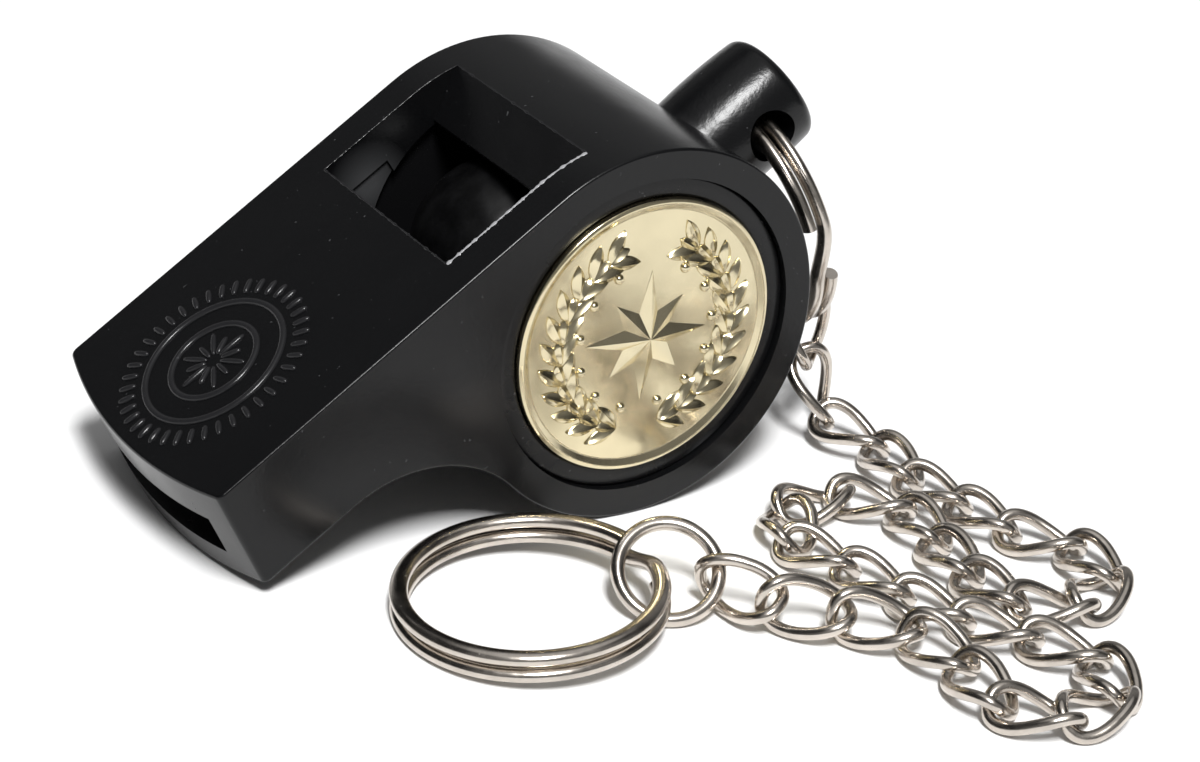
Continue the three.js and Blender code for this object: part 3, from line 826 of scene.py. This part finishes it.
class WHISTLE_OT_roundel(bpy.types.Operator):
    """Models the low moulded roundel on the top face: plain rings, a sunburst and a reeded border"""

    bl_idname = "whistle.roundel"
    bl_label = "Moulded roundel"

    def execute(self, context):
        d = relief()
        # The roundel takes the lighter raised tone, a painted highlight
        material = black_plastic("roundel_plastic", paint("raised"), finish().plastic_rough)
        high = d.roundel_height
        at = WHISTLE @ Matrix.Translation((d.roundel_place, 0, sizes().chamber_radius))
        works = {
            "roundel_ring": hoop(d.ring_radius, d.ring_wide, high),
            "roundel_inner_ring": hoop(d.inner_radius, d.ring_wide, high),
            "roundel_rays": ribs(d.rays, d.ray_start, (d.ray_long, d.ray_short), d.ray_wide, high),
            "roundel_reeds": ribs(d.reeds, d.reed_start, (d.reed_long,), d.reed_wide, high),
        }
        for name, work in works.items():
            dress(new_object(name, work, material, at, ROUND), "whistle", "body_plastic")
        return {"FINISHED"}


class WHISTLE_OT_caps(bpy.types.Operator):
    """Models the two side caps, the near one with a pocket for the medallion"""

    bl_idname = "whistle.caps"
    bl_label = "Side caps"

    def execute(self, context):
        s = sizes()
        material = black_plastic("cap_plastic", paint("cap"), finish().cap_rough)
        pocket = s.medal_radius + s.pocket_clear
        floor = s.cap_outer - s.pocket_depth
        r = s.cap_radius
        rim = [((0, s.cap_inner, 0), 0), ((0, s.cap_inner, r), 1), ((0, s.cap_outer, r), 1)]
        plain = rim + [((0, s.cap_outer, 0), 0)]
        sunk = rim + [((0, s.cap_outer, pocket), 1), ((0, floor, pocket), 0), ((0, floor, 0), 0)]
        caps = (("far_cap", "side_cap_far", plain, 0), ("near_cap", "side_cap_near", sunk, math.pi))
        for name, node, points, turn in caps:
            bm = turned(rounded_profile(points, s.cap_round), (0, 1, 0), steps=128)
            bmesh.ops.rotate(bm, verts=bm.verts, cent=(0, 0, 0), matrix=Matrix.Rotation(turn, 3, "Z"))
            dress(new_object(name, bm, material, WHISTLE), "whistle", "cap_plastic", node)
        return {"FINISHED"}


class WHISTLE_OT_medallion(bpy.types.Operator):
    """Models the gold disc with a raised rim and a plain wreath and star"""

    bl_idname = "whistle.medallion"
    bl_label = "Medallion"

    def execute(self, context):
        s, d = sizes(), relief()
        material = gold_plate("pale_gold", paint("gold"))
        r = s.medal_radius
        face = r - s.rim_wide
        points = [((0, s.medal_back, 0), 0), ((0, s.medal_back, r), 1), ((0, s.medal_rim - s.rim_drop, r), 1)]
        points += [((0, s.medal_rim, r - s.rim_top), 1), ((0, s.medal_field, face), 1)]
        steps = 12
        for step in range(1, steps + 1):
            radius = face * (1 - step / steps)
            points.append(((0, medal_face(s, radius), radius), 0))
        bm = turned(rounded_profile(points, s.medal_round), (0, 1, 0), steps=160)
        at = WHISTLE @ Matrix.Rotation(s.medal_turn, 4, "Y") @ Matrix.Rotation(math.pi, 4, "Z")
        disc = new_object("medallion_disc", bm, material, at)
        dress(disc, "whistle", "medallion_metal", "medallion")
        for name, work, sharp in (("wreath", wreath(s, d), ROUND), ("star", star(s, d), FACET)):
            piece = new_object("medallion_" + name, work, material, at, sharp)
            dress(piece, "whistle", "medallion_metal")
        return {"FINISHED"}


def medal_face(s, radius):
    """Height of the medallion's swelling face."""
    way_out = radius / (s.medal_radius - s.rim_wide)
    return s.medal_field + s.medal_crown * (1 - way_out ** 2)


def leaf(bm, place, heading, long, wide, high):
    """A pointed leaf with a raised midrib, half sunk in the face that looks along +Y."""
    fullness, edge_height, midrib = 2.2, 0.5, 2.2
    made = bmesh.ops.create_uvsphere(bm, u_segments=20, v_segments=14, radius=1)["verts"]
    for vert in made:
        taper = max(0, 1 - abs(vert.co.z) ** fullness) ** 0.5
        fold = 1 - edge_height * min(1, abs(vert.co.x) * midrib)
        vert.co = Vector((vert.co.x * wide * taper, vert.co.y * high * fold, vert.co.z * long))
    bmesh.ops.rotate(bm, verts=made, cent=(0, 0, 0), matrix=Matrix.Rotation(heading, 3, "Y"))
    bmesh.ops.translate(bm, verts=made, vec=place)


def wreath(s, d):
    """Two sprigs of leaves with berries, from the foot of the disc up both sides."""
    bm = bmesh.new()
    stem = d.stem_radius
    for side in (-1, 1):
        for number in range(d.sprays):
            a = d.spray_foot - number * d.spray_step
            out = Vector((side * math.sin(a), 0, math.cos(a)))
            ahead = Vector((-side * math.cos(a), 0, math.sin(a)))
            for lean in (d.leaf_out, -d.leaf_in, 0):
                heading = ahead * math.cos(lean) + out * math.sin(lean)
                long = d.leaf_long if lean else d.leaf_short
                place = out * stem + heading * long
                place.y = medal_face(s, math.hypot(place.x, place.z))
                leaf(bm, place, math.atan2(heading.x, heading.z), long, d.leaf_wide, d.leaf_high)
            if number % 2 == 0:
                place = out * (stem - d.berry_in) + ahead * d.berry_on
                place.y = medal_face(s, stem)
                bmesh.ops.create_uvsphere(
                    bm, u_segments=14, v_segments=10, radius=d.berry_radius, matrix=Matrix.Translation(place)
                )
    return bm


def star(s, d):
    """A faceted star with long and short points."""
    corners = 16
    bm = bmesh.new()
    made = bmesh.ops.create_cone(
        bm, cap_ends=True, segments=corners, radius1=d.star_radius, radius2=0, depth=d.star_height,
        matrix=Matrix.Rotation(-math.pi / 2, 4, "X"),
    )["verts"]
    for vert in made:
        step = round(math.atan2(vert.co.x, vert.co.z) / (2 * math.pi / corners))
        pull = d.star_notch if step % 2 else (1 if step % 4 == 0 else d.star_short)
        vert.co.x *= pull
        vert.co.z *= pull
    bmesh.ops.translate(bm, verts=made, vec=(0, medal_face(s, 0) + d.star_lift, 0))
    return bm


class WHISTLE_OT_pea(bpy.types.Operator):
    """Models the ball in the chamber"""

    bl_idname = "whistle.pea"
    bl_label = "Pea"

    def execute(self, context):
        s = sizes()
        low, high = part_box("pea")
        bm = bmesh.new()
        bmesh.ops.create_icosphere(bm, subdivisions=6, radius=s.pea_radius)
        for vert in bm.verts:
            vert.co *= 1 + s.pea_uneven * noise.noise(vert.co / s.pea_dents)
        place = Matrix.Translation((low + high) / 2)
        piece = new_object("pea_ball", bm, dark_ball("dark_ball", paint("pea")), place)
        dress(piece, "pea", "pea_plastic", "pea")
        return {"FINISHED"}


# Chain and rings

def link_wire(c):
    """One curb link along X: an oval of round wire, each end twisted the other way."""
    long = c.pitch + c.seat + c.clear
    stations = []
    steps = 56

    def at(t):
        cos, sin = math.cos(t), math.sin(t)
        x = long / 2 * math.copysign(abs(cos) ** (2 / c.oval), cos)
        y = (c.width - c.wire) / 2 * math.copysign(abs(sin) ** (2 / c.oval), sin)
        turn = c.twist * x / (long / 2)
        return Vector((x, y * math.cos(turn), y * math.sin(turn))), turn

    for step in range(steps):
        t = (step + 0.5) / steps * 2 * math.pi
        place, turn = at(t)
        along = at(t + NUDGE)[0] - at(t - NUDGE)[0]
        flat = Vector((0, -math.sin(turn), math.cos(turn)))
        stations.append(station(place, along, flat, c.wire, c.wire))
    return tube(stations, sides=14, closed=True)


def link_places(c):
    """Where each link lies, from the joints at its two ends and the axis that it turns on."""
    pivots = [pivot(name) for name in LINKS + ["round_link"]]
    for number, name in enumerate(LINKS):
        x = (pivots[number + 1] - pivots[number]).normalized()
        axis = Vector(JOINTS[name]["axis"])
        if number == 0:
            z = Matrix.Rotation(c.first_roll, 3, x) @ (x * axis.dot(x) - axis)
        else:
            z = x.cross(axis)
            if z.z < 0:
                z.negate()
        z.normalize()
        yield name, axes_at(x, z.cross(x), z, pivots[number + 1] - x * c.pitch / 2)


class WHISTLE_OT_chain(bpy.types.Operator):
    """Models the twisted links, each where its joints are"""

    bl_idname = "whistle.chain"
    bl_label = "Chain links"

    def execute(self, context):
        c = chain()
        material = nickel_plate("nickel", paint("nickel"))
        for name, axes in link_places(c):
            piece = new_object(name.replace("chain_", ""), link_wire(c), material, axes, WIRE)
            dress(piece, name, "chain_metal", name)
        return {"FINISHED"}


def split_ring(c):
    """Two coils of flattened wire with a jog from one to the other, in the XY plane, with the jog at +X."""
    lift = (c.ring_coil + c.ring_gap) / 2
    sweep = 4 * math.pi - 2 * c.ring_end
    steps = 220

    def at(a):
        t = min(1, max(0, (a - 2 * math.pi) / c.ring_jog + 0.5))
        rise = lift * (1 - 2 * t * t * (3 - 2 * t))
        return Vector((c.ring_radius * math.cos(a), c.ring_radius * math.sin(a), rise))

    stations = []
    for step in range(steps + 1):
        a = c.ring_end + sweep * step / steps
        out = Vector((math.cos(a), math.sin(a), 0))
        stations.append(station(at(a), at(a + NUDGE) - at(a - NUDGE), out, c.ring_wire, c.ring_coil))
    return tube(stations, sides=16, closed=False)


def round_ring(c):
    """The round link's wire, in the XY plane."""
    stations = []
    steps = 64
    for step in range(steps):
        a = step / steps * 2 * math.pi
        out = Vector((math.cos(a), math.sin(a), 0))
        along = Vector((-out.y, out.x, 0))
        stations.append(station(out * c.round_radius, along, out, c.round_wire, c.round_wire))
    return tube(stations, sides=16, closed=True)


def upright(x, up, place):
    """Axes with X as given and Z as near to the upward hint as it can be."""
    z = (up - x * up.dot(x)).normalized()
    return axes_at(x, z.cross(x), z, place)


def ring_places(c):
    """Where the rings lie: one hangs from the lug's hole, one lies out from the round link, which leans."""
    above = Vector((0, 0, 1))
    low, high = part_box("lug_ring")
    hang = (low + high) / 2 - pivot("lug_ring")
    near = Vector((0, -1, 0))
    yield "lug_ring", split_ring(c), upright(near, hang.cross(near), (low + high) / 2)
    loop = MOUNTS["key_ring_loop"]
    centre = Vector(loop["pos_m"])
    out = (centre - pivot("key_ring")).normalized()
    turn = Matrix.Rotation(c.key_ring_turn, 4, "Z")
    yield "key_ring", split_ring(c), upright(out, Vector(loop["axis"]), centre) @ turn
    low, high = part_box("round_link")
    along = (low + high) / 2 - pivot("round_link")
    along.z = 0
    along.normalize()
    lean = Matrix.Rotation(-c.round_roll, 3, along) @ above
    yield "round_link", round_ring(c), upright(along, lean, (low + high) / 2)


class WHISTLE_OT_rings(bpy.types.Operator):
    """Models the two split rings and the round link"""

    bl_idname = "whistle.rings"
    bl_label = "Rings and round link"

    def execute(self, context):
        material = nickel_plate("ring_nickel", paint("nickel"))
        for name, wire, axes in ring_places(chain()):
            piece = new_object(name + "_wire", wire, material, axes, ROUND)
            dress(piece, name, "chain_metal", name)
        return {"FINISHED"}


# Stage

# The camera, as it stood for the photograph, from the chamber's axis
CAMERA_FROM_AXIS = Vector((-106.88, -159.42, 86.32)) * MM
CAMERA_RIGHT = Vector((0.8405, -0.5351, 0.0851))
CAMERA_UP = Vector((0.1732, 0.4142, 0.8936))
LENS = 93.3
SENSOR = 36.0
NEAREST = 5 * MM
# The table, and how far it lies below the part
TABLE_HALF = 3
TABLE_DROP = 0.05 * MM
# The key light: where it stands, its width and height in metres, its watts
KEY_FROM = Vector((-0.258, -0.508, 0.822))
KEY_DISTANCE = 1.6
KEY_SIZE = (0.26, 0.5)
KEY_POWER = 36
# Tones of the sky: by height, towards one side, towards the front and overhead
SWEEP = [(0.0, 0.95), (0.1, 0.8), (0.24, 0.08), (0.45, 0.23), (0.7, 0.23), (0.85, 0.05)]
SWEEP_SIDE = [(0.0, 0.1), (0.35, 0.15), (0.7, 1.0)]
SWEEP_TOWARDS = (0.62, 0.78, 0)
FRONT = [(0.1, 0.0), (0.7, 0.2)]
FRONT_TOWARDS = (-0.2, -0.98, 0)
OVERHEAD = [(0.0, 0.0), (0.8, 0.0), (0.92, 0.5), (1.0, 0.6)]


class WHISTLE_OT_stage(bpy.types.Operator):
    """Sets the camera, the pale table and the soft studio light"""

    bl_idname = "whistle.stage"
    bl_label = "Stage"

    def execute(self, context):
        scene = context.scene
        axis = pivot("pea")
        lens = bpy.data.cameras.new("camera")
        lens.lens = LENS
        lens.sensor_width = SENSOR
        lens.clip_start = NEAREST
        camera = linked("camera", lens)
        right = CAMERA_RIGHT.normalized()
        up = (CAMERA_UP - right * CAMERA_UP.dot(right)).normalized()
        camera.matrix_world = axes_at(right, up, right.cross(up), axis + CAMERA_FROM_AXIS)
        scene.camera = camera
        bm = bmesh.new()
        bmesh.ops.create_grid(bm, x_segments=1, y_segments=1, size=TABLE_HALF)
        floor = new_object("table", bm, matt_floor("pale_table", paint("floor")))
        floor.location.z = -TABLE_DROP
        floor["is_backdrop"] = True
        self.key_light(axis)
        self.sky(scene)
        scene.view_settings.view_transform = "Standard"
        return {"FINISHED"}

    def key_light(self, aim):
        lamp = bpy.data.lights.new("key", "AREA")
        lamp.shape = "RECTANGLE"
        lamp.size, lamp.size_y = KEY_SIZE
        lamp.energy = KEY_POWER
        holder = linked("key", lamp)
        away = KEY_FROM.normalized()
        holder.location = aim + away * KEY_DISTANCE
        holder.rotation_euler = away.to_track_quat("Z", "Y").to_euler()

    def sky(self, scene):
        """A white sweep low down, a dark wall above it and a soft light overhead."""
        world = bpy.data.worlds.new("studio")
        scene.world = world
        world.use_nodes = True
        tree = world.node_tree
        place = tree.nodes.new("ShaderNodeTexCoord")
        parts = tree.nodes.new("ShaderNodeSeparateXYZ")
        tree.links.new(place.outputs["Generated"], parts.inputs["Vector"])
        side = ramp(tree, self.facing(tree, place, SWEEP_TOWARDS), SWEEP_SIDE)
        front = ramp(tree, self.facing(tree, place, FRONT_TOWARDS), FRONT)
        shade = self.mixed(tree, "MULTIPLY", ramp(tree, parts.outputs["Z"], SWEEP), side)
        shade = self.mixed(tree, "LIGHTEN", shade, front)
        shade = self.mixed(tree, "LIGHTEN", shade, ramp(tree, parts.outputs["Z"], OVERHEAD))
        tree.links.new(shade, tree.nodes["Background"].inputs["Color"])

    def facing(self, tree, place, direction):
        """How far a direction of the sky faces the given one."""
        node = tree.nodes.new("ShaderNodeVectorMath")
        node.operation = "DOT_PRODUCT"
        node.inputs[1].default_value = direction
        tree.links.new(place.outputs["Generated"], node.inputs[0])
        return node.outputs["Value"]

    def mixed(self, tree, kind, one, other):
        """Two tones, blended in full."""
        node = tree.nodes.new("ShaderNodeMixRGB")
        node.blend_type = kind
        node.inputs["Fac"].default_value = 1
        tree.links.new(one, node.inputs["Color1"])
        tree.links.new(other, node.inputs["Color2"])
        return node.outputs["Color"]


class WHISTLE_PT_panel(bpy.types.Panel):
    """Lists the pieces in the order in which they are made"""

    bl_label = "Whistle"
    bl_idname = "WHISTLE_PT_panel"
    bl_space_type = "VIEW_3D"
    bl_region_type = "UI"
    bl_category = "Whistle"

    def draw(self, context):
        for operator in OPERATORS:
            self.layout.operator(operator.bl_idname)


OPERATORS = (
    WHISTLE_OT_stage,
    WHISTLE_OT_body,
    WHISTLE_OT_roundel,
    WHISTLE_OT_caps,
    WHISTLE_OT_medallion,
    WHISTLE_OT_pea,
    WHISTLE_OT_rings,
    WHISTLE_OT_chain,
)
GROUPS = {
    "whistle_body": WhistleBodySizes,
    "whistle_relief": ReliefSizes,
    "whistle_chain": ChainSizes,
    "whistle_finish": Finishes,
}


def register():
    for group in GROUPS.values():
        bpy.utils.register_class(group)
    for name, group in GROUPS.items():
        setattr(bpy.types.Scene, name, bpy.props.PointerProperty(type=group))
    for operator in OPERATORS:
        bpy.utils.register_class(operator)
    bpy.utils.register_class(WHISTLE_PT_panel)


def unregister():
    bpy.utils.unregister_class(WHISTLE_PT_panel)
    for operator in reversed(OPERATORS):
        bpy.utils.unregister_class(operator)
    for name in GROUPS:
        delattr(bpy.types.Scene, name)
    for group in reversed(tuple(GROUPS.values())):
        bpy.utils.unregister_class(group)


def main():
    register()
    for operator in OPERATORS:
        group, name = operator.bl_idname.split(".")
        getattr(getattr(bpy.ops, group), name)()
    boxes = {"cad": CAD_BOX, "visual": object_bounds()}
    {name: [list(corner) for corner in box] for name, box in boxes.items()}


if __name__ == "__main__":
    main()
